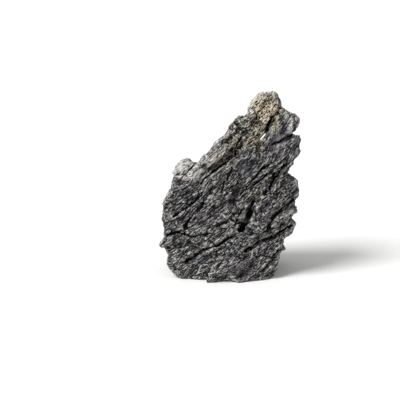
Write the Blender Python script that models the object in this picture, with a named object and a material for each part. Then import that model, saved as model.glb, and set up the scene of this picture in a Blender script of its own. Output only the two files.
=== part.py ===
"""Seiryu stone: one weathered boulder of layered grey limestone that stands on a broken, flat foot.

The boulder is a bundle of beds, the layers that the limestone was laid down in. Each bed is drawn by its
outline as seen from the front and by the depth that it fills. The beds are fused, worn along the bedding
and thinned to facets. Frame: metres, +Z up, +X right, +Y to the rear, origin under the middle of the box.
"""
import math
from collections import namedtuple
from itertools import product

import bmesh
import bpy
import numpy as np

MM = 0.001

# Driving dimensions of the whole stone, in millimetres
STONE_HEIGHT = 253.0
BEDDING_ANGLE = math.radians(44.0)  # rise of the beds towards the right
BEDDING_FAN = 0.0022  # how much the beds steepen towards the peak, in radians per millimetre
BEDDING_DIP = -0.2  # rise of the beds towards the rear, per millimetre
BEDDING_MIDDLE = (5.0, 140.0)  # x and z where the beds run at the angle above

# How the outside is worn, in millimetres
FUSE_VOXEL = 2.3
WORN_VOXEL = 1.7
WARP_DEPTH = 3.2
WARP_LENGTH = 46.0
BLOCK_DEPTH = 3.0
BLOCK_SIZE = (40.0, 11.0, 30.0)  # along the beds, across them, and front to rear
CHIP_DEPTH = 1.5
CHIP_SIZE = (15.0, 6.0, 13.0)
RIB_DEPTH = 1.5
RIB_SPACING = 7.5
PIT_DEPTH = 1.6
PIT_LENGTH = 9.0
OVERALL_DEPTH = 1.4
UNDERCUT = 0.06  # share by which the foot draws in at the ground
UNDERCUT_HEIGHT = 26.0

TRIANGLES = 10600  # before the foot is cut off

# The slit between two beds under the peak that daylight shows through: its outline as x and z in
# millimetres, and how x grows per millimetre towards the rear. Its z follows the dip of the beds.
SLIT = [(37.8, 179.8), (39.8, 181.0), (44.0, 185.8), (48.6, 192.0),
        (47.6, 193.0), (43.4, 188.6), (39.0, 183.2)]
SLIT_DRIFT = 0.047
SLIT_REACH = 60.0  # more than the stone's half depth

# One layer of the stone, in millimetres. The outline is x and z seen from the front, front and back are y at
# its middle, a slope is how y grows per millimetre of x and of z, and wear is the width of the shoulders.
Bed = namedtuple("Bed", "name outline front back front_slope back_slope wear")

BEDS = (
    Bed("core",
        [(-60, -30), (-74, 24), (-78, 54), (-76, 100), (-62, 134), (-30, 150), (6, 192), (24, 214),
         (34, 238), (56, 243), (68, 222), (84, 212), (84, 176), (82, 150), (74, 110), (72, 64), (54, 30),
         (40, -30)],
        -24, 18, (0.0, 0.12), (0.0, -0.06), 8),
    Bed("foot",
        [(-72, -36), (-80, 4), (-88, 12), (-86, 24), (-96, 36), (-92, 56), (-84, 68), (-60, 74), (-20, 62),
         (-2, 36), (-8, -36)],
        -52, 40, (-0.10, 0.10), (0.0, -0.12), 9),
    Bed("right_foot",
        [(-48, -30), (-22, 10), (4, 56), (36, 72), (76, 78), (88, 68), (84, 54), (70, 42), (74, 32), (64, 20),
         (62, 6), (52, -36)],
        -57, 44, (0.22, 0.20), (0.0, -0.14), 8),
    Bed("left_face",
        [(-94, 50), (-93, 89), (-87.5, 108), (-81, 125), (-72, 129), (-42, 124), (-24, 115), (-33, 79),
         (-54, 43)],
        -45, 38, (-0.24, 0.22), (0.1, -0.15), 7),
    Bed("pale_shoulder",
        [(-80, 123), (-78, 136), (-74.5, 143), (-67, 149), (-59, 152.5), (-51, 152), (-40, 155), (-30, 157),
         (-34, 144), (-50, 122)],
        -38, 24, (-0.35, 0.55), (0.2, -0.2), 6),
    Bed("tongue",
        [(-66, 124), (-56, 139), (-45, 151), (-28, 163), (-11, 175), (3, 176), (-4, 156), (-24, 139),
         (-37, 119)],
        -47, 16, (-0.10, 0.30), (0.0, -0.2), 4),
    Bed("back_slope",
        [(-45, 151), (-28, 170), (-19, 182), (-7, 193), (-2, 202), (5, 210), (11, 216), (20, 218.5),
         (30, 214), (26, 190), (14, 169), (-10, 148), (-34, 140)],
        -34, 34, (-0.05, 0.28), (0.0, -0.22), 6),
    Bed("knob",
        [(14, 186), (18, 205), (20.5, 219), (22.5, 229), (27.5, 240), (35, 248.5), (44, 252), (58, 252.5),
         (65.5, 248.5), (68.5, 240), (69, 232), (64, 222), (57, 210), (50, 196), (40, 180), (25, 170)],
        -28, 22, (0.05, 0.34), (0.0, -0.2), 6),
    Bed("right_block",
        [(66, 229), (74, 225), (81, 219), (88, 214.5), (91, 209), (89.5, 203), (83.5, 196.5), (76, 185),
         (63, 177), (50, 174), (45, 184), (50, 196), (57, 209), (62, 222)],
        -34, 16, (0.26, 0.22), (0.0, -0.15), 4),
    Bed("upper_lobe",
        [(82, 191), (86.5, 192.5), (91, 187.5), (91.5, 177), (81, 167), (59, 155), (36, 144), (26, 158),
         (44, 176), (62, 184), (76, 187)],
        -42, 22, (0.30, 0.18), (0.0, -0.15), 5),
    Bed("lower_lobe",
        [(90, 176), (93, 170), (92, 163), (84, 153), (81, 144.5), (70, 134), (45, 122), (22, 112),
         (16, 128), (34, 146), (60, 160), (81, 170)],
        -48, 30, (0.28, 0.20), (0.0, -0.15), 5),
    Bed("centre",
        [(-42, 115), (-27, 136), (-9, 155), (8, 172), (22, 187), (44, 192), (56, 180), (44, 160), (34, 138),
         (22, 112), (-5, 92), (-30, 86)],
        -50, 42, (-0.04, 0.22), (0.0, -0.2), 6),
    Bed("right_flank",
        [(74, 138), (79, 131), (89, 130), (92, 118), (89, 100), (86, 78), (63, 66), (35, 57), (14, 62),
         (6, 100), (22, 120), (46, 131), (66, 138)],
        -52, 44, (0.26, 0.22), (0.0, -0.2), 6),
    Bed("low_centre",
        [(-37, 96), (-7, 110), (20, 120), (30, 93), (24, 60), (2, 30), (-35, 24), (-58, 40)],
        -58, 40, (0.0, 0.16), (0.0, -0.1), 7),
    Bed("rear_foot",
        [(-58, -46), (-66, 0), (-80, 40), (-62, 76), (-15, 90), (38, 78), (68, 56), (50, 14), (40, -46)],
        10, 62, (0.0, 0.0), (0.08, -0.22), 12),
    Bed("rear_left",
        [(-84, 44), (-84, 92), (-74, 128), (-48, 146), (-16, 168), (0, 150), (-20, 110), (-44, 56)],
        0, 40, (0.0, 0.0), (-0.12, -0.14), 9),
    Bed("rear_rib",
        [(-64, 58), (-48, 96), (-6, 140), (34, 180), (60, 192), (68, 172), (46, 122), (12, 80), (-30, 48)],
        0, 52, (0.0, 0.0), (-0.1, -0.18), 8),
    Bed("rear_right",
        [(30, 60), (46, 96), (64, 132), (82, 138), (86, 100), (82, 66), (60, 48)],
        0, 50, (0.0, 0.0), (0.1, -0.2), 8),
    Bed("rear_crest",
        [(-22, 148), (6, 196), (34, 224), (56, 226), (72, 204), (72, 172), (50, 150), (14, 138)],
        -6, 33, (0.0, 0.0), (0.05, -0.25), 7),
)

# One crack or hollow, in millimetres: its line as x and z seen from the front, half its width, its depth,
# and the side that it is in.
Crack = namedtuple("Crack", "line half_width depth side")
FRONT, REAR = -1, 1

CRACKS = (
    Crack([(-40, 122), (-38, 128), (-34, 132), (-25, 139), (-15, 146), (-4, 155), (6, 165)], 3.0, 8, FRONT),
    Crack([(-67, 130), (-56, 143), (-46, 153), (-38, 158)], 2.6, 5, FRONT),
    Crack([(67, 229), (62, 221), (58.5, 217)], 2.6, 12, FRONT),
    Crack([(54, 211), (51, 205), (48, 199)], 2.6, 12, FRONT),
    Crack([(88, 193), (82, 191), (73, 185), (57, 178)], 2.6, 7, FRONT),
    Crack([(14, 191), (11, 178), (7, 160)], 2.8, 8, FRONT),
    Crack([(4, 210), (12, 199), (17, 193)], 2.6, 6, FRONT),
    Crack([(52, 149), (37, 137), (22, 119)], 3.0, 9, FRONT),
    Crack([(54, 137), (39, 125), (28, 114), (14, 104)], 3.0, 8, FRONT),
    Crack([(72, 148), (62, 134), (56, 121), (45, 108)], 3.0, 8, FRONT),
    Crack([(31, 98), (27, 89)], 3.6, 8, FRONT),
    Crack([(26, 86), (23, 79), (19, 70), (13, 60)], 6.4, 16, FRONT),
    Crack([(0, 74), (8, 69), (18, 72)], 3.2, 5, FRONT),
    Crack([(-43, 104), (-60, 89), (-76, 78)], 3.0, 6, FRONT),
    Crack([(-23, 113), (-35, 103), (-40, 91), (-55, 77), (-64, 58)], 3.0, 4.5, FRONT),
    Crack([(86, 101), (70, 88), (58, 76), (50, 62)], 3.2, 8, FRONT),
    Crack([(-88, 52), (-70, 56), (-52, 50), (-30, 54)], 3.0, 7, FRONT),
    Crack([(-20, 62), (0, 74), (16, 92)], 3.0, 6, FRONT),
    Crack([(-62, 14), (-38, 30), (-14, 40), (4, 52)], 3.4, 9, FRONT),
    Crack([(20, 30), (40, 44), (58, 50), (84, 66)], 3.2, 9, FRONT),
    Crack([(-34, -14), (-18, -8), (-4, -14)], 9.0, 10, FRONT),
    Crack([(20, -16), (34, -6), (48, 6), (66, 30)], 5.0, 8, FRONT),
    Crack([(-74, 60), (-50, 88), (-30, 104), (-8, 126), (18, 146)], 4.0, 9, REAR),
    Crack([(-40, 28), (-8, 58), (20, 76), (44, 104), (66, 120)], 4.0, 10, REAR),
    Crack([(-60, 132), (-34, 150), (-6, 168), (16, 192)], 3.2, 7, REAR),
    Crack([(14, 168), (36, 190), (52, 214), (58, 236)], 3.2, 7, REAR),
    Crack([(24, 20), (46, 48), (72, 70)], 3.6, 9, REAR),
    Crack([(34, 118), (48, 136), (64, 150), (84, 160)], 3.4, 8, REAR),
    Crack([(-14, 10), (4, 20), (20, 14)], 7.0, 9, REAR),
)


def hashed(cells, seed):
    """A repeatable number from 0 to 1 for each row of three whole numbers."""
    mixed = cells[..., 0] * 73856093 ^ cells[..., 1] * 19349663 ^ cells[..., 2] * 83492791
    mixed = (mixed ^ seed * 974634777) & 0xFFFFFFFF
    mixed = ((mixed >> 15 ^ mixed) * 739982445) & 0xFFFFFFFF
    mixed = ((mixed >> 12 ^ mixed) * 695872825) & 0xFFFFFFFF
    return (mixed >> 15 ^ mixed) / 0xFFFFFFFF


def noise(points, seed):
    """Smooth noise from -1 to 1: random numbers at whole-numbered places, eased from each to the next."""
    low = np.floor(points).astype(np.int64)
    ease = (points - low) ** 2 * (3 - 2 * (points - low))
    total = np.zeros(len(points))
    for corner in product((0, 1), repeat=3):
        weight = np.where(corner, ease, 1 - ease).prod(axis=1)
        total += weight * hashed(low + corner, seed)
    return 2 * total - 1


def broken_blocks(points, seed):
    """A number from -1 to 1 that is the same all over each block of a random honeycomb."""
    low = np.floor(points).astype(np.int64)
    nearest = np.full(len(points), np.inf)
    value = np.zeros(len(points))
    for step in product((-1, 0, 1), repeat=3):
        cell = low + step
        site = cell + np.stack([hashed(cell, seed + axis) for axis in range(3)], axis=1)
        distance = ((points - site) ** 2).sum(axis=1)
        value = np.where(distance < nearest, 2 * hashed(cell, seed + 3) - 1, value)
        nearest = np.minimum(distance, nearest)
    return value


def bedding(points):
    """Each point as lengths along the beds, across them and to the rear, in millimetres."""
    x, y, z = points.T
    right, up = x - BEDDING_MIDDLE[0], z - BEDDING_MIDDLE[1]
    along = right * math.cos(BEDDING_ANGLE) + up * math.sin(BEDDING_ANGLE)
    across = up * math.cos(BEDDING_ANGLE) - right * math.sin(BEDDING_ANGLE)
    across -= BEDDING_FAN / 2 * along**2 + BEDDING_DIP * y
    across += 2.2 * noise(points / 30, seed=11)
    return np.stack([along, across, y], axis=1)


def add_bed(mesh, bed):
    """Draws the bed's outline out from front to back, wears its two ends, then tilts it all."""
    corners = [mesh.verts.new((x, bed.front + bed.wear, z)) for x, z in bed.outline]
    middle = np.mean(bed.outline, axis=0)
    face = mesh.faces.new(corners)
    drawn = bmesh.ops.extrude_face_region(mesh, geom=[face])["geom"]
    far = [part for part in drawn if isinstance(part, bmesh.types.BMVert)]
    far_face = next(part for part in drawn if isinstance(part, bmesh.types.BMFace))
    bmesh.ops.translate(mesh, verts=far, vec=(0, bed.back - bed.front - 2 * bed.wear, 0))
    solid = {f for v in corners + far for f in v.link_faces}
    bmesh.ops.recalc_face_normals(mesh, faces=list(solid))
    bmesh.ops.inset_individual(mesh, faces=[face, far_face], thickness=bed.wear, depth=bed.wear)
    ends = (
        (set(corners) | set(face.verts), bed.front_slope),
        (set(far) | set(far_face.verts), bed.back_slope),
    )
    for verts, slope in ends:
        for v in verts:
            v.co.y += slope[0] * (v.co.x - middle[0]) + slope[1] * (v.co.z - middle[1])
            v.co.z += BEDDING_DIP * v.co.y


def evaluated(obj):
    """The object's mesh with its modifiers worked out; the modifiers are then cleared."""
    graph = bpy.context.evaluated_depsgraph_get()
    made = bpy.data.meshes.new_from_object(obj.evaluated_get(graph))
    obj.modifiers.clear()
    obj.data = made


def voxel_fuse(obj, size):
    """Joins everything in the object into one closed skin of even squares."""
    remesh = obj.modifiers.new("fuse", "REMESH")
    remesh.mode = "VOXEL"
    remesh.voxel_size = size
    evaluated(obj)


def read_vectors(items, name):
    """A vector of every mesh item as rows of an array."""
    values = np.empty(len(items) * 3, np.float32)
    items.foreach_get(name, values)
    return values.reshape(-1, 3).astype(float)


def crack_depth(points, normals):
    """How deep the cracks are cut at each point: each is deepest on its line and fades over its half width."""
    deepest = np.zeros(len(points))
    place = np.stack([points[:, 0], points[:, 2] - BEDDING_DIP * points[:, 1]], axis=1)
    for crack in CRACKS:
        nearest = np.full(len(points), np.inf)
        for start, end in zip(np.array(crack.line, float), np.array(crack.line, float)[1:]):
            run = end - start
            share = np.clip((place - start) @ run / (run @ run), 0, 1)
            away = np.linalg.norm(place - start - share[:, None] * run, axis=1)
            nearest = np.minimum(nearest, away)
        fade = np.clip(1 - nearest / crack.half_width, 0, 1)
        facing = np.clip(crack.side * normals[:, 1] * 3, 0, 1) * (crack.side * points[:, 1] > 0)
        deepest = np.maximum(deepest, crack.depth * np.sqrt(fade) * facing)
    return deepest


def wear(obj):
    """Moves the skin along its normals: broken blocks, ribs of harder beds, pits, and a broad warp."""
    points = read_vectors(obj.data.vertices, "co")
    normals = read_vectors(obj.data.vertex_normals, "vector")
    beds = bedding(points)
    ribs = noise(beds / (RIB_SPACING * 6, RIB_SPACING, RIB_SPACING * 5), seed=21)
    depth = BLOCK_DEPTH * broken_blocks(beds / BLOCK_SIZE, seed=31) - OVERALL_DEPTH
    depth += CHIP_DEPTH * broken_blocks(beds / CHIP_SIZE, seed=36)
    depth += RIB_DEPTH * np.sign(ribs) * np.sqrt(np.abs(ribs))
    depth -= PIT_DEPTH * np.clip(noise(beds / PIT_LENGTH, seed=41), 0, 1)
    depth -= crack_depth(points, normals)
    warp = np.stack([noise(points / WARP_LENGTH, seed) for seed in (51, 52, 53)], axis=1)
    moved = points + normals * depth[:, None] + WARP_DEPTH * warp
    lifted = np.clip(1 - points[:, 2] / UNDERCUT_HEIGHT, 0, 1) ** 2
    moved[:, :2] *= 1 - UNDERCUT * lifted[:, None]
    obj.data.vertices.foreach_set("co", moved.astype(np.float32).ravel())
    obj.data.update()


def thin(obj, triangles):
    """Collapses the skin to about this many triangles, which gives the stone its facets."""
    decimate = obj.modifiers.new("thin", "DECIMATE")
    decimate.ratio = triangles / (2 * len(obj.data.polygons))
    decimate.use_collapse_triangulate = True
    evaluated(obj)


def break_off_foot(obj):
    """Cuts the stone off flat at z = 0 and closes the cut."""
    mesh = bmesh.new()
    mesh.from_mesh(obj.data)
    parts = mesh.verts[:] + mesh.edges[:] + mesh.faces[:]
    cut = bmesh.ops.bisect_plane(mesh, geom=parts, plane_co=(0, 0, 0), plane_no=(0, 0, 1), clear_inner=True)
    rim = [part for part in cut["geom_cut"] if isinstance(part, bmesh.types.BMEdge)]
    bmesh.ops.triangle_fill(mesh, edges=rim, use_beauty=True)
    bmesh.ops.recalc_face_normals(mesh, faces=mesh.faces[:])
    mesh.to_mesh(obj.data)
    mesh.free()


def cut_slit(obj):
    """Cuts the slit that daylight shows through: a thin wedge along the beds that widens to the rear."""
    blade = bmesh.new()
    ends = []
    for reach, spread in ((-SLIT_REACH, 1.0), (SLIT_REACH, 1.5)):
        middle = np.mean(SLIT, axis=0)
        rim = (middle + (np.array(SLIT) - middle) * spread).tolist()
        ends.append([blade.verts.new((x + SLIT_DRIFT * reach, reach, z + BEDDING_DIP * reach)) for x, z in rim])
    front, rear = ends
    blade.faces.new(front)
    blade.faces.new(rear)
    for here, there in zip(range(len(SLIT)), list(range(1, len(SLIT))) + [0]):
        blade.faces.new((front[here], front[there], rear[there], rear[here]))
    bmesh.ops.recalc_face_normals(blade, faces=blade.faces[:])
    skin = bpy.data.meshes.new("slit_blade")
    blade.to_mesh(skin)
    blade.free()
    cutter = bpy.data.objects.new("slit_blade", skin)
    bpy.context.scene.collection.objects.link(cutter)
    cut = obj.modifiers.new("slit", "BOOLEAN")
    cut.operation = "DIFFERENCE"
    cut.object = cutter
    evaluated(obj)
    bpy.data.objects.remove(cutter)


def place(obj):
    """Puts the middle of the stone's box over the origin and turns millimetres to metres."""
    points = read_vectors(obj.data.vertices, "co")
    low, high = points.min(axis=0), points.max(axis=0)
    middle = (low + high) / 2
    middle[2] = 0
    scale = np.array([1, 1, STONE_HEIGHT / high[2]]) * MM
    obj.data.vertices.foreach_set("co", ((points - middle) * scale).astype(np.float32).ravel())
    obj.data.update()


def limestone():
    """Charcoal grey limestone, dry and matt."""
    material = bpy.data.materials.new("dry_limestone")
    material.use_nodes = True
    shader = material.node_tree.nodes["Principled BSDF"]
    shader.inputs["Base Color"].default_value = (0.085, 0.083, 0.082, 1)
    shader.inputs["Roughness"].default_value = 0.85
    shader.inputs["Metallic"].default_value = 0.0
    return material


def build_stone():
    """The whole stone as one object."""
    outline = bmesh.new()
    for bed in BEDS:
        add_bed(outline, bed)
    skin = bpy.data.meshes.new("stone")
    outline.to_mesh(skin)
    outline.free()
    stone = bpy.data.objects.new("stone", skin)
    bpy.context.scene.collection.objects.link(stone)
    voxel_fuse(stone, FUSE_VOXEL)
    wear(stone)
    voxel_fuse(stone, WORN_VOXEL)
    thin(stone, TRIANGLES)
    break_off_foot(stone)
    cut_slit(stone)
    place(stone)
    stone.data.materials.clear()
    stone.data.materials.append(limestone())
    return stone


for leftover in list(bpy.data.objects):
    bpy.data.objects.remove(leftover)
build_stone()
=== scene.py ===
"""Looks for a seiryu stone: one weathered boulder of dark grey, layered limestone on a pale studio floor.

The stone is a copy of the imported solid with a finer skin. All lengths in the shape functions are in
millimetres. A point's place in the layers is measured along the beds, across them and to the rear.
"""
import math
from collections import namedtuple
from itertools import product

import bmesh
import bpy
import numpy as np
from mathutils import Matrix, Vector


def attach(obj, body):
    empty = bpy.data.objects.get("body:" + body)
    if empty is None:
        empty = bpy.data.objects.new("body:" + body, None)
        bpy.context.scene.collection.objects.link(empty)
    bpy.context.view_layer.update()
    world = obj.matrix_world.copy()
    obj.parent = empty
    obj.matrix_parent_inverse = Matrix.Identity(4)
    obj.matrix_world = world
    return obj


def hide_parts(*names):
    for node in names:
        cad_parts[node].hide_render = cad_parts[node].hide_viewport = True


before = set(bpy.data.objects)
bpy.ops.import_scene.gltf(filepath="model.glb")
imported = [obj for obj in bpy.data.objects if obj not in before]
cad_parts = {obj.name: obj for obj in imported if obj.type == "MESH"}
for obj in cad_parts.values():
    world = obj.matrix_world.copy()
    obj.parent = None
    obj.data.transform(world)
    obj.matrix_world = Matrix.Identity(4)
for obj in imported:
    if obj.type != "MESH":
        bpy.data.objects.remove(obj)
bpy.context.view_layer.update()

MM = 0.001

# The photograph's camera: how wide a pixel is at the stone and how far off the camera is, both in metres,
# how far it looks down, and the pixel that the stone's foot is at
PIXEL = 0.0014
CAMERA_DISTANCE = 1.9
LOOKS_DOWN = math.radians(12)
FRAME_PIXELS = 400
FOOT_PIXEL = (229, 270)
SENSOR = 36.0  # millimetres

# The studio floor: its radius in metres, and how many sides its round edge has
FLOOR_RADIUS = 30.0
FLOOR_SIDES = 96

# The layers of the limestone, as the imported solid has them: how steeply they rise to the right, how much
# they steepen with each millimetre, how they fall to the rear, and the x and z they are measured from
BEDDING_ANGLE = math.radians(44)
BEDDING_FAN = 0.0022
BEDDING_DIP = -0.2
BEDDING_MIDDLE = (5.0, 140.0)

# The waves in the layers: how high and how long
BROAD_WAVE = 4.0
BROAD_WAVE_LENGTH = 34
FINE_WAVE = 1.5
FINE_WAVE_LENGTH = 12

# The finer skin
MERGE_DISTANCE = 1e-6  # metres
SKIN_VOXEL = 0.75
SOFTEN_STEPS = 12
BROAD_STEPS = 5  # how often its normals are softened
SKIN_TRIANGLES = 196000
SKIN_SUNK = 0.25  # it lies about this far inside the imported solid
FOOT_FADE = 5.0  # the weathering fades out from this height down to the ground
UNDERSIDE_TOP = 1.5  # what faces down lower than this is the flat foot
UNDERSIDE_FACING = -0.7

# What breaks the surface: its size along the beds, across them and to the rear, and its faces' height
BLOCK_SIZE = (30, 12, 26)
BLOCK_HEIGHT = 1.0
CHIP_SIZE = (16, 3.6, 11)
CHIP_HEIGHT = 0.42
FLAKE_SIZE = (7.5, 1.8, 5)
FLAKE_HEIGHT = 0.42

# How much the blocks' beds differ: in what they rise over a block's length, and in how far they are shifted
BLOCK_TURN = 9.0
BLOCK_SHIFT = 5.0

# The thin layers seen edge on: their length and thickness, and how far they stand out
THICK_LAMINAE = (34, 2.9)
THICK_HEIGHT = 0.35
THIN_LAMINAE = (15, 1.6)
THIN_HEIGHT = 0.6
RIB_PATCH = 19  # they come and go over this length

# The open joints: their depth, their width as a share of a block, and over what length they come and go
JOINT_DEPTH = 1.6
JOINT_WIDTH = 0.07
JOINT_PATCH = 15

# The pits: the size of the cell that each lies in, its depth, and its radius as a share of the cell
LONG_PIT_SIZE = (8, 1.9, 6)
LONG_PIT_DEPTH = 1.6
LONG_PIT_RADIUS = 0.42
ROUND_PIT_SIZE = (4.2, 2.6, 4.0)
ROUND_PIT_DEPTH = 1.4
ROUND_PIT_RADIUS = 0.5
LEAST_WEAR = 0.2  # the share of the joints and long pits that all areas have
WEAR_LIFT = 0.75  # makes up for what the joints and pits take off

# The slit under the peak that daylight shows through: its two ends as x and z
SLIT_ENDS = ((38.4, 181.6), (48.1, 192.3))
SLIT_STILL = 1.5  # the skin isn't weathered this near it
SLIT_CALM = 6.0  # and is weathered less this near it

# One crack: its line as x and z, half its width, its depth, and whether it is in the front or the rear
Crack = namedtuple("Crack", "line half_width depth side")
FRONT, REAR = -1, 1
CLEFT_FULL_SHADE = 5.0  # a crack this deep gets the full painted shade
CLEFT_FACING = 0.35  # a crack fades out where the surface faces the front or rear less than this

# How far the cracks' lines wander and over what length, and over what length their widths differ
CLEFT_WANDER = 1.4
CLEFT_WANDER_LENGTH = 7
CLEFT_RAGGED_LENGTH = 9

CRACKS = (
    Crack([(-39, 122), (-37, 128), (-33, 132), (-24, 139), (-14, 146), (-5, 153)], 1.9, 7.0, FRONT),
    Crack([(-66, 130), (-56, 142), (-46, 152), (-38, 158)], 1.2, 3.5, FRONT),
    # Between the knob at the peak and the block to its right, and between that block and the lobe below it
    Crack([(68, 229), (63, 221), (60, 217)], 2.6, 8.0, FRONT),
    Crack([(61, 218), (55, 211)], 1.3, 3.0, FRONT),
    Crack([(55, 211), (52, 205), (49, 197)], 2.6, 8.0, FRONT),
    Crack([(90, 194), (82, 190), (74, 185), (63, 180), (57, 177)], 1.4, 4.5, FRONT),
    # On the slope and across the middle
    Crack([(17, 191), (13, 183), (7, 173), (7, 160)], 1.5, 4.5, FRONT),
    Crack([(4, 210), (10, 203), (16, 196)], 1.4, 3.5, FRONT),
    Crack([(52, 149), (41, 142), (31, 130), (22, 119)], 1.8, 6.5, FRONT),
    Crack([(49, 136), (38, 126), (27, 119), (14, 110)], 1.7, 5.5, FRONT),
    Crack([(73, 149), (66, 139), (60, 131), (52, 117)], 2.0, 6.0, FRONT),
    Crack([(3, 146), (2, 140), (-2, 135), (-4, 128)], 2.2, 3.2, FRONT),
    Crack([(-8, 127), (-9, 119), (-13, 110)], 1.6, 3.2, FRONT),
    # The dark hollow low in the middle, and the cracks beside it
    Crack([(32, 98), (28, 89)], 2.6, 6.0, FRONT),
    Crack([(27, 86), (24, 79), (20, 70), (14, 60)], 5.0, 9.0, FRONT),
    Crack([(1, 74), (9, 69), (19, 72)], 1.8, 3.5, FRONT),
    Crack([(19, 90), (12, 80), (6, 66)], 1.8, 5.0, FRONT),
    # The lower left, the lower right and the foot
    Crack([(-43, 104), (-60, 89), (-76, 78)], 1.8, 5.0, FRONT),
    Crack([(-22, 113), (-34, 103), (-39, 91), (-54, 77), (-63, 58)], 1.5, 3.0, FRONT),
    Crack([(86, 101), (70, 88), (58, 76), (50, 62)], 1.8, 5.0, FRONT),
    Crack([(-88, 52), (-70, 56), (-52, 50), (-30, 54)], 1.8, 4.5, FRONT),
    Crack([(-62, 14), (-38, 30), (-14, 40), (4, 52)], 2.0, 5.5, FRONT),
    Crack([(20, 30), (40, 44), (58, 50), (84, 66)], 2.0, 5.5, FRONT),
    # The rear
    Crack([(-74, 60), (-50, 88), (-30, 104), (-8, 126), (18, 146)], 2.2, 6.0, REAR),
    Crack([(-40, 28), (-8, 58), (20, 76), (44, 104), (66, 120)], 2.2, 6.0, REAR),
    Crack([(-60, 132), (-34, 150), (-6, 168), (16, 192)], 1.8, 5.0, REAR),
    Crack([(14, 168), (36, 190), (52, 214), (58, 236)], 1.8, 5.0, REAR),
    Crack([(24, 20), (46, 48), (72, 70)], 2.0, 6.0, REAR),
)

# How the surface differs from place to place: where an area's middle is as x and z, how far it reaches, how
# strong its ribs, chips and pits are, how much paler than charcoal it is, and how much earth has stained it
Area = namedtuple("Area", "at reach ribs chips pits pale stain")
AREA_WANDER = 4.0  # the areas' edges wander this far
AREA_WANDER_LENGTH = 11
FAR_WEIGHT = 1e-4  # the weight of plain charcoal stone, which shows only far from all areas

AREAS = (
    # The stained knob at the peak
    Area((46, 228), 16, 1.1, 1.2, 1.2, 0.44, 0.90),
    Area((26, 228), 8, 1.0, 0.8, 1.0, 0.48, 0.15),
    Area((46, 247), 7, 1.1, 1.1, 1.2, 0.48, 0.30),
    # Beside and below it, down the slope to the pale tongue at the left
    Area((68, 240), 7, 0.5, 0.8, 1.0, -0.02, 0.15),
    Area((30, 208), 12, 0.9, 0.8, 1.3, -0.03, 0.65),
    Area((10, 196), 12, 1.0, 0.8, 0.9, -0.03, 0.35),
    Area((-18, 176), 15, 1.1, 0.3, 0.3, 0.22, 0.05),
    Area((5, 178), 8, 0.9, 0.8, 1.0, -0.02, 0.75),
    Area((-60, 145), 15, 0.35, 0.3, 0.4, 0.42, 0.0),
    Area((-28, 159), 9, 0.4, 0.3, 0.4, 0.34, 0.40),
    Area((-36, 142), 13, 0.5, 0.2, 0.2, 0.18, 0.10),
    Area((-8, 158), 11, 0.9, 0.7, 1.0, 0.05, 0.75),
    Area((34, 182), 12, 0.8, 0.8, 1.2, -0.03, 0.60),
    # The ribbed middle, the left side and the right edge
    Area((24, 146), 20, 1.2, 0.5, 0.5, -0.15, 0.05),
    Area((34, 134), 8, 0.4, 0.1, 0.1, -0.10, 0.0),
    Area((80, 125), 11, 0.8, 0.8, 0.8, -0.10, 0.0),
    Area((-10, 124), 18, 1.3, 0.7, 0.6, -0.20, 0.15),
    Area((31, 112), 10, 1.1, 1.0, 1.2, -0.02, 0.60),
    Area((-66, 96), 26, 0.9, 1.2, 0.9, -0.03, 0.0),
    Area((-79, 119), 5, 0.6, 0.6, 0.4, 0.36, 0.0),
    Area((-88, 104), 5, 0.6, 0.6, 0.4, 0.26, 0.0),
    Area((-30, 119), 5, 0.8, 0.5, 0.3, 0.22, 0.15),
    Area((38, 88), 6, 1.0, 1.0, 1.0, 0.22, 0.05),
    # The block to the right of the knob, with two white patches
    Area((70, 215), 7, 0.8, 0.8, 0.6, 0.20, 0.40),
    Area((86, 216), 11, 0.9, 0.8, 0.6, 0.06, 0.25),
    Area((60, 206), 8, 0.8, 0.8, 0.8, 0.06, 0.65),
    Area((80, 210), 4, 0.6, 0.3, 0.2, 0.85, 0.00),
    Area((81, 199), 3.5, 0.6, 0.3, 0.2, 0.85, 0.00),
    # The lobe below it, the right side and the foot
    Area((66, 190), 12, 0.3, 0.1, 0.2, 0.00, 0.00),
    Area((80, 172), 18, 0.7, 0.7, 0.6, -0.03, 0.00),
    Area((62, 118), 22, 1.4, 0.6, 0.5, -0.06, 0.20),
    Area((0, 50), 50, 1.0, 1.0, 0.8, 0.03, 0.05),
)

# Colours of the stone from its darkest to its palest, as the eye sees them, whose dark end also holds the
# painted shade of hollows and cracks and whose pale end the painted highlight of edges: charcoal limestone
# with white calcite, the same stained by pale earth, and by iron rust
BAND_PLACES = (0.0, 0.16, 0.36, 0.58, 0.8, 1.0)
GREY_BANDS = ("#040405", "#1c1b1f", "#454548", "#767776", "#a4a4a1", "#cfcecb")
EARTH_BANDS = ("#090806", "#26231f", "#5b554c", "#8e8778", "#b3ad9e", "#d2cdc0")
RUST_BANDS = ("#0c0906", "#2f261b", "#60513e", "#937b5a", "#b5a07f", "#cdc1aa")
VIOLET_GREY = "#3b3647"
ROSE_TINT = "#7d6c6b"
FLOOR_WHITE = "#f6f6f5"

# The scale of the grain that follows the layers: drawn out along them and to the rear, and not across them
LAYERED_SCALE = (0.22, 0.3, 1)

# How edge wear with its painted highlight and the painted shade of hollows are measured: how often the
# surface is softened that edges are measured from, how much more often the one for hollows, and how high an
# edge or how deep a hollow is that counts in full
NEAR_STEPS = 3
WIDE_STEPS = 22
EDGE_HEIGHT = 0.35
HOLLOW_DEPTH = 2.0
LEAST_HATCHING = 0.2  # the share of the fine grain that shows where there are no ribs

# Sockets of Blender's Mix node when it mixes colours
MIX_SHARE, MIX_UNDER, MIX_OVER, MIX_RESULT = 0, 6, 7, 2

# The rows of random numbers, and the large odd factors that mix a cell's place and a seed to a row number
DRAWN_ROWS = 4096
DRAWN = np.random.default_rng(20).random((DRAWN_ROWS, 7))
CELL_FACTORS = (73856093, 19349663, 83492791)
SEED_FACTOR = 974634777
STIR_FACTOR = 2246822519

NOISE_SPREAD = 1.7  # stretches the noise to about -1 to 1


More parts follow.
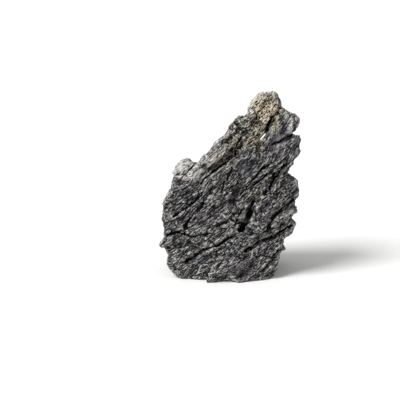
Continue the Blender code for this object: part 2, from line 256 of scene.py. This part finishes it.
def linear(colour):
    """An sRGB hex colour as linear red, green, blue and alpha."""
    values = [int(colour[i:i + 2], 16) / 255 for i in (1, 3, 5)]
    return [v / 12.92 if v <= 0.04045 else ((v + 0.055) / 1.055) ** 2.4 for v in values] + [1.0]


def drawn(cells, seed):
    """The row of random numbers of each cell: its place and the seed are mixed to the row's number."""
    mixed = np.bitwise_xor.reduce(cells * CELL_FACTORS, axis=1) ^ seed * SEED_FACTOR
    mixed = (mixed ^ mixed >> 15) * STIR_FACTOR
    return DRAWN[(mixed >> 16) & (DRAWN_ROWS - 1)]


def noise(points, seed):
    """Smooth noise from about -1 to 1: a random slope at each whole place, eased from each to the next."""
    low = np.floor(points).astype(np.int64)
    part = points - low
    ease = part**3 * (part * (6 * part - 15) + 10)
    total = np.zeros(len(points))
    for corner in product((0, 1), repeat=3):
        weight = np.where(corner, ease, 1 - ease).prod(axis=1)
        slope = 2 * drawn(low + corner, seed)[:, :3] - 1
        total += weight * ((part - corner) * slope).sum(axis=1)
    return NOISE_SPREAD * total


# Where a point lies in a honeycomb of chips: its offset from the middle of its chip, the chip's own random
# numbers, and how much further away the next chip's middle is, which is nothing at a chip's edge
Chip = namedtuple("Chip", "offset draw gap")


def chips(points, seed):
    """Finds each point's chip in a random honeycomb.

    Every whole cell has the middle of one chip, and a point belongs to the chip whose middle is nearest.
    """
    low = np.floor(points).astype(np.int64)
    nearest = np.full(len(points), np.inf)
    second = np.full(len(points), np.inf)
    offset = np.zeros((len(points), 3))
    draw = np.zeros((len(points), DRAWN.shape[1]))
    for step in product((-1, 0, 1), repeat=3):
        numbers = drawn(low + step, seed)
        away = points - low - step - numbers[:, :3]
        distance = np.sqrt((away**2).sum(axis=1))
        closer = distance < nearest
        second = np.where(closer, nearest, np.minimum(second, distance))
        nearest = np.where(closer, distance, nearest)
        offset[closer] = away[closer]
        draw[closer] = numbers[closer]
    return Chip(offset, draw, second - nearest)


def ramp(values, start, end):
    """0 below start, 1 above end, and a smooth rise between them."""
    share = np.clip((values - start) / (end - start), 0, 1)
    return share * share * (3 - 2 * share)


def broken_faces(chip):
    """The height of each point on the flat face of its chip, which is raised and tilted at random.

    It is a random height, plus the point's offset along each axis times a random slope, and mostly lies from
    -1.5 to 1.5.
    """
    return 2 * chip.draw[:, 3] - 1 + (chip.offset * (2 * chip.draw[:, 4:] - 1)).sum(axis=1)


def pits(chip, radius):
    """1 in the middle of each chip, and 0 further from it than this share of a cell."""
    return 1 - ramp(np.linalg.norm(chip.offset, axis=1), radius / 4, radius)


def front_place(points):
    """Each point's x and z as the front shows it, followed along the dip of the beds."""
    return np.stack([points[:, 0], points[:, 2] - BEDDING_DIP * points[:, 1]], axis=1)


def wandering(points, reach, length, seed):
    """Each point's place on the front, pushed this far to and fro by noise of this length."""
    push = np.stack([noise(points / length, seed), noise(points / length, seed + 1)], axis=1)
    return front_place(points) + reach * push


def bedding(points):
    """Each point as lengths along the beds, across them and to the rear.

    The place on the front is turned by the bedding angle. The beds are bent to a parabola and wavy.
    """
    right = points[:, 0] - BEDDING_MIDDLE[0]
    up = points[:, 2] - BEDDING_MIDDLE[1] - BEDDING_DIP * points[:, 1]
    along = right * math.cos(BEDDING_ANGLE) + up * math.sin(BEDDING_ANGLE)
    across = up * math.cos(BEDDING_ANGLE) - right * math.sin(BEDDING_ANGLE)
    across = across - BEDDING_FAN / 2 * along**2
    across += (
        BROAD_WAVE * noise(points / BROAD_WAVE_LENGTH, seed=1)
        + FINE_WAVE * noise(points / FINE_WAVE_LENGTH, seed=2)
    )
    return np.stack([along, across, points[:, 1]], axis=1)


def distance_to_line(place, line):
    """The distance in the plane from each place to the nearest point of a line of straight steps."""
    nearest = np.full(len(place), np.inf)
    stops = np.array(line, float)
    for start, end in zip(stops, stops[1:]):
        run = end - start
        share = np.clip((place - start) @ run / (run @ run), 0, 1)
        nearest = np.minimum(nearest, np.linalg.norm(place - start - share[:, None] * run, axis=1))
    return nearest


def read_vectors(items, name):
    """A vector of every mesh item as rows of an array."""
    values = np.empty(len(items) * 3, np.float32)
    items.foreach_get(name, values)
    return values.reshape(-1, 3).astype(float)


def write_points(mesh, points):
    """Moves the mesh's vertices to these points, which are in metres."""
    mesh.vertices.foreach_set("co", points.astype(np.float32).ravel())
    mesh.update()


def edge_ends(mesh):
    """The two vertex numbers of every edge."""
    ends = np.empty(len(mesh.edges) * 2, np.int32)
    mesh.edges.foreach_get("vertices", ends)
    return ends.reshape(-1, 2)


def soften(values, ends, steps):
    """Each row moved halfway to the mean of its neighbours along the edges, this many times."""
    count = np.bincount(ends.ravel(), minlength=len(values))
    for _ in range(steps):
        total = np.stack([
            np.bincount(ends[:, 0], column[ends[:, 1]], len(values))
            + np.bincount(ends[:, 1], column[ends[:, 0]], len(values))
            for column in values.T
        ], axis=1)
        values = (values + total / count[:, None]) / 2
    return values


def applied(obj):
    """Works out the object's modifiers into its mesh and clears them."""
    graph = bpy.context.evaluated_depsgraph_get()
    made = bpy.data.meshes.new_from_object(obj.evaluated_get(graph))
    obj.modifiers.clear()
    obj.data = made


def fine_skin(node, name):
    """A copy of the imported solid's mesh, merged and covered anew in small even squares."""
    mesh = bmesh.new()
    mesh.from_mesh(node.data)
    bmesh.ops.remove_doubles(mesh, verts=mesh.verts[:], dist=MERGE_DISTANCE)
    skin = bpy.data.meshes.new(name)
    mesh.to_mesh(skin)
    mesh.free()
    obj = bpy.data.objects.new(name, skin)
    bpy.context.scene.collection.objects.link(obj)
    remesh = obj.modifiers.new("skin", "REMESH")
    remesh.mode = "VOXEL"
    remesh.voxel_size = SKIN_VOXEL * MM
    applied(obj)
    return obj


def area_values(points, field):
    """The mean of one value of the areas at each point. Each weighs as a bell curve over its reach."""
    place = wandering(points, AREA_WANDER, AREA_WANDER_LENGTH, seed=4)
    total = np.zeros(len(points))
    weights = np.full(len(points), FAR_WEIGHT)
    for area in AREAS:
        weight = np.exp(-((place - area.at) ** 2).sum(axis=1) / area.reach**2)
        total += weight * getattr(area, field)
        weights += weight
    return total / weights


def laminae(beds, length, thickness, seed):
    """Thin layers seen edge on, mostly from -1 to 0.6.

    There is a line where smooth noise, long along the beds and thin across them, crosses zero. On some
    stretches the line is a sharp crest at 0.6 that falls off evenly to both sides. On others it is a narrow
    groove, 1.3 deep, between two flat layers at 0.3.
    """
    size = (length, thickness, 0.7 * length)
    from_line = np.abs(noise(beds / size, seed))
    crested = ramp(noise(beds / (0.6 * length, 3 * thickness, 0.6 * length), seed + 1), -0.25, 0.25)
    crest = 0.6 - 2.2 * from_line
    groove = 0.3 - 1.3 * (1 - ramp(from_line, 0, 0.16))
    return crested * crest + (1 - crested) * groove


def cleft_depth(points):
    """How deep the named cracks cut in at each point.

    A crack is deepest on its line and rises to nothing at half its width, a little rounder than a V. The
    lines wander, and their widths are ragged.
    """
    place = wandering(points, CLEFT_WANDER, CLEFT_WANDER_LENGTH, seed=21)
    ragged = 0.85 + 0.5 * noise(points / CLEFT_RAGGED_LENGTH, seed=23)
    depth = np.zeros(len(points))
    for crack in CRACKS:
        inside = np.clip(1 - distance_to_line(place, crack.line) / (ragged * crack.half_width), 0, 1)
        depth = np.maximum(depth, crack.depth * inside**0.7 * (crack.side * points[:, 1] > 0))
    return depth


def weathering(points, normals):
    """How far the skin stands out at each point, in millimetres.

    The stone is broken in blocks. In each, the beds are turned a little its own way. Blocks and the smaller
    chips and flakes on them have flat tilted faces, thin laminae run along them, and joints open between some
    of the blocks. Long and round pits and the named cracks go in.
    """
    beds = bedding(points)
    block = chips(beds / BLOCK_SIZE, seed=11)
    turned = BLOCK_TURN * (block.draw[:, 3] - 0.5) * block.offset[:, 0]
    beds[:, 1] += turned + BLOCK_SHIFT * (block.draw[:, 4] - 0.5)
    chip = chips(beds / CHIP_SIZE, seed=12)
    flake = chips(beds / FLAKE_SIZE, seed=13)
    chipped = area_values(points, "chips")
    broken = BLOCK_HEIGHT * broken_faces(block) + CHIP_HEIGHT * broken_faces(chip)
    out = chipped * (broken + FLAKE_HEIGHT * broken_faces(flake))
    ribbed = area_values(points, "ribs") * (0.5 + 0.5 * ramp(noise(points / RIB_PATCH, seed=3), -0.3, 0.2))
    out += ribbed * (
        THICK_HEIGHT * laminae(beds, *THICK_LAMINAE, seed=14)
        + THIN_HEIGHT * laminae(beds, *THIN_LAMINAE, seed=16)
    )
    open_joints = (LEAST_WEAR + chipped) * ramp(noise(points / JOINT_PATCH, seed=18), -0.15, 0.2)
    out -= JOINT_DEPTH * open_joints * (1 - ramp(block.gap, 0, JOINT_WIDTH))
    pitted = area_values(points, "pits")
    long_pits = pits(chips(beds / LONG_PIT_SIZE, seed=19), LONG_PIT_RADIUS)
    round_pits = pits(chips(beds / ROUND_PIT_SIZE, seed=20), ROUND_PIT_RADIUS)
    out -= (LEAST_WEAR + pitted) * LONG_PIT_DEPTH * long_pits
    out -= pitted**2 * ROUND_PIT_DEPTH * round_pits
    out -= cleft_depth(points) * ramp(np.abs(normals[:, 1]), 0, CLEFT_FACING)
    calm = ramp(distance_to_line(front_place(points), SLIT_ENDS), SLIT_STILL, SLIT_CALM)
    return ((out + WEAR_LIFT) * calm - SKIN_SUNK) * ramp(points[:, 2], 0, FOOT_FADE)


def dress_stone(node):
    """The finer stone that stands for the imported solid.

    Its skin is softened, each point is moved along its broad normal by the weathering, and the mesh is
    thinned where it is flat. Nothing goes below the ground, and the underside lies flat on it.
    """
    obj = fine_skin(node, "limestone_boulder")
    ends = edge_ends(obj.data)
    points = soften(read_vectors(obj.data.vertices, "co") / MM, ends, SOFTEN_STEPS)
    write_points(obj.data, points * MM)
    normals = read_vectors(obj.data.vertex_normals, "vector")
    broad = soften(normals, ends, BROAD_STEPS)
    broad /= np.linalg.norm(broad, axis=1)[:, None]
    moved = points + broad * weathering(points, broad)[:, None]
    underside = (normals[:, 2] < UNDERSIDE_FACING) & (points[:, 2] < UNDERSIDE_TOP)
    moved[:, 2] = np.where(underside, 0, np.maximum(moved[:, 2], 0))
    write_points(obj.data, moved * MM)
    thin = obj.modifiers.new("thin", "DECIMATE")
    thin.ratio = SKIN_TRIANGLES / (2 * len(obj.data.polygons))
    thin.use_collapse_triangulate = True
    applied(obj)
    thinned = read_vectors(obj.data.vertices, "co")
    thinned[:, 2] = np.maximum(thinned[:, 2], 0)
    write_points(obj.data, thinned)
    record_wear_and_painted_light(obj.data)
    return obj


def store(mesh, name, values):
    """Keeps one number for each vertex under this name, for the material to read."""
    layer = mesh.attributes.new(name, "FLOAT", "POINT")
    layer.data.foreach_set("value", values.astype(np.float32))


def record_wear_and_painted_light(mesh):
    """Records each vertex's edge wear and painted highlight, its painted shade, and the colours of its area.

    How far it stands out of the surface softened a little is its edge wear, which is also a painted
    highlight, and how far it lies under the surface softened a lot is the painted shade of its hollow. The
    named cracks are painted shade too.
    """
    points = read_vectors(mesh.vertices, "co") / MM
    normals = read_vectors(mesh.vertex_normals, "vector")
    ends = edge_ends(mesh)
    near = soften(points, ends, NEAR_STEPS)
    wide = soften(near, ends, WIDE_STEPS)
    clear = ramp(points[:, 2], 0, FOOT_FADE)
    stands_out = ((points - near) * normals).sum(axis=1)
    lies_in = ((wide - points) * normals).sum(axis=1)
    # Edge wear: crests that stand out are made paler, partly as real wear and partly as a painted highlight
    store(mesh, "edge_wear_and_highlight", clear * np.clip(stands_out / EDGE_HEIGHT, -1, 1))
    # Painted shade: what lies under the broadly softened surface is darkened in the colour
    store(mesh, "painted_hollow_shade", clear * np.clip(lies_in / HOLLOW_DEPTH, -0.5, 1))
    # Painted shade: the named cracks are darkened in the colour by their depth
    store(mesh, "painted_cleft_shade", ramp(cleft_depth(points), 0, CLEFT_FULL_SHADE))
    store(mesh, "hatching", LEAST_HATCHING + (1 - LEAST_HATCHING) * area_values(points, "ribs"))
    for field in ("pale", "stain"):
        store(mesh, field, area_values(points, field))


def add(tree, kind, inputs, **settings):
    """Adds a node. Each input, by name or number, is linked where it is given a socket, or else set."""
    node = tree.nodes.new(kind)
    for name, value in settings.items():
        setattr(node, name, value)
    for key, value in inputs.items():
        if isinstance(value, bpy.types.NodeSocket):
            tree.links.new(value, node.inputs[key])
        else:
            node.inputs[key].default_value = value
    return node


def limestone_grain(tree):
    """The patterns that the stone's colour and fine relief are mixed from, each a socket under its name."""
    place = add(tree, "ShaderNodeTexCoord", {}).outputs["Object"]
    turned = add(tree, "ShaderNodeMapping", {"Vector": place, "Rotation": (0, BEDDING_ANGLE, 0)}).outputs[0]
    layered = add(tree, "ShaderNodeMapping", {"Vector": turned, "Scale": LAYERED_SCALE}).outputs[0]

    # Each noise: what it is measured in, its size in millimetres, and how many finer sizes it holds
    noises = {
        "cloud": (place, 24.0, 3.0), "patch": (place, 9.0, 4.0), "mottle": (place, 3.6, 4.0),
        "speck": (place, 1.2, 2.0), "streak": (layered, 1.4, 2.0), "hatch": (layered, 2.6, 1.0),
    }
    part = {
        name: add(tree, "ShaderNodeTexNoise", {
            "Vector": vector, "Scale": 1 / (size * MM), "Detail": detail,
            "Roughness": 0.6, "Distortion": 0.3,
        }).outputs["Fac"]
        for name, (vector, size, detail) in noises.items()
    }
    for name in ("edge_wear_and_highlight", "painted_hollow_shade", "painted_cleft_shade", "pale", "stain", "hatching"):
        part[name] = add(tree, "ShaderNodeAttribute", {}, attribute_name=name).outputs["Fac"]

    # Folded noise is nothing along sharp winding lines: thin crests along the beds, and white calcite veins
    for name, source in (("from_crest", "hatch"), ("from_vein", "cloud")):
        side = add(tree, "ShaderNodeMath", {0: part[source], 1: 0.5}, operation="SUBTRACT").outputs[0]
        part[name] = add(tree, "ShaderNodeMath", {0: side}, operation="ABSOLUTE").outputs[0]
    part["vein"] = add(tree, "ShaderNodeMapRange", {
        "Value": part["from_vein"], "From Min": 0.0, "From Max": 0.012, "To Min": 1.0, "To Max": 0.0,
    }).outputs["Result"]

    # Sums of the parts: where each starts, and the share of each part in it. The grain's share in the relief
    # is the hatching, which differs from place to place
    sums = {
        "grain": (-0.74, {"speck": 0.8, "streak": 1.1, "from_crest": -2.3}),
        "relief": (0.0, {"grain": part["hatching"]}),
        # In the lightness, the term for edges is partly real wear and partly painted highlight, and the terms
        # for hollows and cracks are painted shade
        "lightness": (-0.14, {
            "pale": 0.75, "cloud": 0.4, "patch": 0.25, "mottle": 0.1, "relief": 1.1, "vein": 0.35,
            "edge_wear_and_highlight": 0.18, "painted_hollow_shade": -0.34, "painted_cleft_shade": -0.45,
        }),
        "earth": (-1.95, {"stain": 1.4, "patch": 1.2, "mottle": 1.8, "speck": 0.8}),
        "rust": (-3.4, {"stain": 1.0, "cloud": 1.4, "patch": 1.6, "mottle": 2.2, "speck": 0.8}),
    }
    for name, (start, shares) in sums.items():
        part[name] = start
        for source, share in shares.items():
            terms = {0: part[source], 1: share, 2: part[name]}
            part[name] = add(tree, "ShaderNodeMath", terms, operation="MULTIPLY_ADD").outputs[0]
    return part


def limestone_colour(tree, part):
    """The stone's colour: bands from its darkest to its palest, which carry the painted shade of hollows and
    cracks and the painted highlight of edges, with thin tints and coats over them.
    """
    coats = {}
    for name, bands in (("grey", GREY_BANDS), ("earth", EARTH_BANDS), ("rust", RUST_BANDS)):
        ramp_node = add(tree, "ShaderNodeValToRGB", {"Fac": part["lightness"]})
        stops = ramp_node.color_ramp.elements
        for _ in bands[2:]:
            stops.new(0.5)
        for stop, position, colour in zip(stops, BAND_PLACES, bands):
            stop.position = position
            stop.color = linear(colour)
        coats[name] = ramp_node.outputs["Color"]

    # Each coat lies over those before it: its mask, the values of it where the coat starts and is full, how
    # much of it then shows, and whether it covers or only tints
    colour = coats["grey"]
    coats["violet"] = linear(VIOLET_GREY)
    coats["rose"] = linear(ROSE_TINT)
    for mask, start, full, strength, over, blend in (
        ("cloud", 0.52, 0.68, 0.3, "violet", "MIX"),
        ("mottle", 0.5, 0.66, 0.6, "rose", "COLOR"),
        ("earth", 0.15, 0.75, 0.85, "earth", "MIX"),
        ("rust", 0.25, 0.75, 0.7, "rust", "MIX"),
    ):
        share = add(tree, "ShaderNodeMapRange", {
            "Value": part[mask], "From Min": start, "From Max": full, "To Max": strength,
        }).outputs["Result"]
        colour = add(tree, "ShaderNodeMix", {
            MIX_SHARE: share, MIX_UNDER: colour, MIX_OVER: coats[over],
        }, data_type="RGBA", blend_type=blend).outputs[MIX_RESULT]
    return colour


def limestone():
    """Seiryu stone is a fine-grained limestone, split along its beds and etched by rain.

    It is charcoal where it broke and ash grey where its edges are worn, and has white calcite in thin veins
    and specks. Its edges get a painted highlight, and its hollows and cracks painted shade down to near
    black. Earth has stained the peak cream and ochre. It is dry and matt.
    """
    material = bpy.data.materials.new("rain_etched_limestone")
    material.use_nodes = True
    tree = material.node_tree
    shader = tree.nodes["Principled BSDF"]
    part = limestone_grain(tree)
    colour = limestone_colour(tree, part)

    # Hardly any gloss, and a little less rough where rain has smoothed it
    roughness = add(tree, "ShaderNodeMapRange", {
        "Value": part["mottle"], "From Min": 0.3, "From Max": 0.7, "To Min": 0.62, "To Max": 0.9,
    })
    bump = add(tree, "ShaderNodeBump", {"Height": part["relief"], "Strength": 0.8, "Distance": 1.2 * MM})
    tree.links.new(colour, shader.inputs["Base Color"])
    tree.links.new(roughness.outputs["Result"], shader.inputs["Roughness"])
    tree.links.new(bump.outputs["Normal"], shader.inputs["Normal"])
    shader.inputs["Metallic"].default_value = 0.0
    shader.inputs["IOR"].default_value = 1.5
    shader.inputs["Specular IOR Level"].default_value = 0.25
    return material


def painted_floor():
    """Smooth matt white paint on the studio floor."""
    material = bpy.data.materials.new("matt_white_paint")
    material.use_nodes = True
    shader = material.node_tree.nodes["Principled BSDF"]
    shader.inputs["Base Color"].default_value = linear(FLOOR_WHITE)
    shader.inputs["Roughness"].default_value = 0.9
    return material


def studio_floor():
    """The floor: a round sheet, wide enough that its edge is never seen."""
    turn = np.linspace(0, 2 * math.pi, FLOOR_SIDES, endpoint=False)
    rim = FLOOR_RADIUS * np.stack([np.cos(turn), np.sin(turn), np.zeros(FLOOR_SIDES)], axis=1)
    mesh = bpy.data.meshes.new("studio_floor")
    mesh.from_pydata(rim.tolist(), [], [list(range(FLOOR_SIDES))])
    mesh.materials.append(painted_floor())
    floor = bpy.data.objects.new("studio_floor", mesh)
    bpy.context.scene.collection.objects.link(floor)
    return floor


def aim(obj, target):
    """Turns a light or camera at the target."""
    obj.rotation_euler = (Vector(target) - obj.location).to_track_quat("-Z", "Y").to_euler()


def set_camera():
    """The photograph's camera: level, looking down a little, with the stone's foot at its own pixel."""
    camera = bpy.data.objects.new("camera", bpy.data.cameras.new("camera"))
    bpy.context.scene.collection.objects.link(camera)
    camera.data.sensor_width = SENSOR
    camera.data.lens = SENSOR * CAMERA_DISTANCE / (FRAME_PIXELS * PIXEL)
    camera.data.clip_start = 0.05
    up = Vector((0, math.sin(LOOKS_DOWN), math.cos(LOOKS_DOWN)))
    back = Vector((0, -math.cos(LOOKS_DOWN), math.sin(LOOKS_DOWN)))
    middle = FRAME_PIXELS / 2
    target = Vector(((middle - FOOT_PIXEL[0]) * PIXEL, 0, 0)) + up * ((FOOT_PIXEL[1] - middle) * PIXEL)
    camera.location = target + back * CAMERA_DISTANCE
    aim(camera, target)
    bpy.context.scene.camera = camera


def set_studio():
    """Even soft light from all round, and a broad key light from the upper left, as large as a window."""
    world = bpy.data.worlds.new("studio")
    bpy.context.scene.world = world
    world.use_nodes = True
    surroundings = world.node_tree.nodes["Background"]
    surroundings.inputs["Color"].default_value = (1, 1, 1, 1)
    surroundings.inputs["Strength"].default_value = 0.5
    key = bpy.data.lights.new("key", "SUN")
    key.energy = 3.2
    key.angle = math.radians(30)
    lamp = bpy.data.objects.new("key", key)
    lamp.location = (-1.1, -0.85, 1.5)
    bpy.context.scene.collection.objects.link(lamp)
    aim(lamp, (0, 0, 0.1))
    bpy.context.scene.view_settings.view_transform = "Standard"


set_camera()
set_studio()
studio_floor()

stone = dress_stone(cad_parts["stone"])
stone.data.materials.clear()
stone.data.materials.append(limestone())
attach(stone, "root")
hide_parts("stone")
